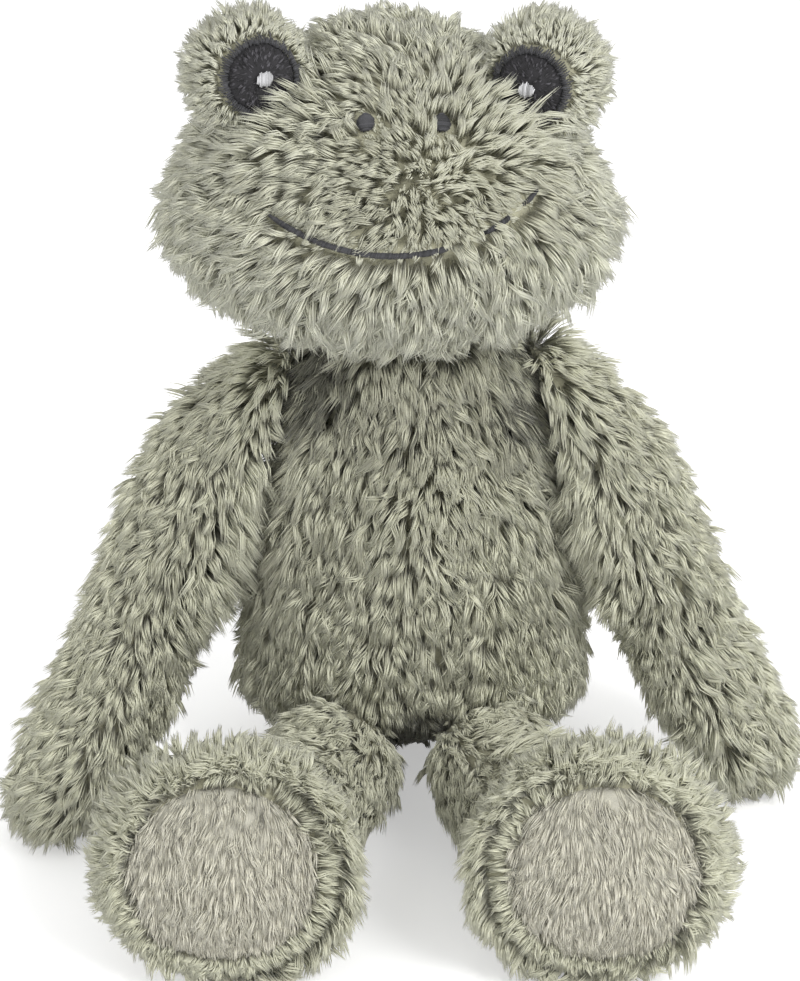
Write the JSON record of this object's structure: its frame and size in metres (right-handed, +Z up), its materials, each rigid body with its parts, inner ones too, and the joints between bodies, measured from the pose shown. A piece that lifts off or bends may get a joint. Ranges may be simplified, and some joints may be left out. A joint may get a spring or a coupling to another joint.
{
  "type": "plush frog",
  "caption": "Sitting plush frog with a broad head, raised eye mounds, limp arms and legs and round soles.",
  "frame": {"origin": "middle of the flat seat under the body, on the surface that the frog sits on", "axes": "+Z up; the frog faces -Y; its own left side is +X"},
  "size_m": [0.2517, 0.1843, 0.2678],
  "materials": {
    "sage_fur": "long combed pile",
    "sage_fur_head": "long combed pile",
    "sole_pile": "short combed pile",
    "charcoal_pile": "short pile",
    "charcoal_thread": "satin stitch",
    "pale_thread": "satin stitch",
    "white_fibre": "loose fibre",
    "pellet_cloth": "plain weave"
  },
  "bodies": {
    "torso": {"body_cover": "sage_fur", "body_filling": "white_fibre", "pellet_bag": "pellet_cloth"},
    "head": {"head_cover": "sage_fur_head", "head_filling": "white_fibre", "left_eye_mound": "sage_fur_head", "right_eye_mound": "sage_fur_head", "left_eye_disc": "charcoal_pile", "right_eye_disc": "charcoal_pile", "left_eye_border": "charcoal_thread", "right_eye_border": "charcoal_thread", "left_eye_glint": "pale_thread", "right_eye_glint": "pale_thread", "left_nostril": "charcoal_thread", "right_nostril": "charcoal_thread", "mouth": "charcoal_thread"},
    "left_arm": {"left_arm_cover": "sage_fur", "left_arm_filling": "white_fibre"},
    "right_arm": {"right_arm_cover": "sage_fur", "right_arm_filling": "white_fibre"},
    "left_leg": {"left_leg_cover": "sage_fur", "left_leg_filling": "white_fibre", "left_sole": "sole_pile"},
    "right_leg": {"right_leg_cover": "sage_fur", "right_leg_filling": "white_fibre", "right_sole": "sole_pile"}
  },
  "joints": [
    {"name": "neck_nod", "type": "hinge", "parent": "torso", "child": "head", "pos_m": [0, -0.027, 0.15], "axis": [0.9962, 0.0872, 0], "range_deg": [-12, 12]},
    {"name": "left_shoulder_swing", "type": "hinge", "parent": "torso", "child": "left_arm", "pos_m": [0.03762, -0.027, 0.141], "axis": [-0.9491, -0.2366, -0.2079], "range_deg": [-50, 75]},
    {"name": "right_shoulder_swing", "type": "hinge", "parent": "torso", "child": "right_arm", "pos_m": [-0.03762, -0.027, 0.141], "axis": [-0.9491, 0.2366, 0.2079], "range_deg": [-50, 75]},
    {"name": "left_hip_swing", "type": "hinge", "parent": "torso", "child": "left_leg", "pos_m": [0.0255, -0.07, 0.026], "axis": [-1, 0, 0], "range_deg": [-75, 15]},
    {"name": "right_hip_swing", "type": "hinge", "parent": "torso", "child": "right_leg", "pos_m": [-0.0255, -0.07, 0.026], "axis": [-1, 0, 0], "range_deg": [-75, 15]}
  ]
}
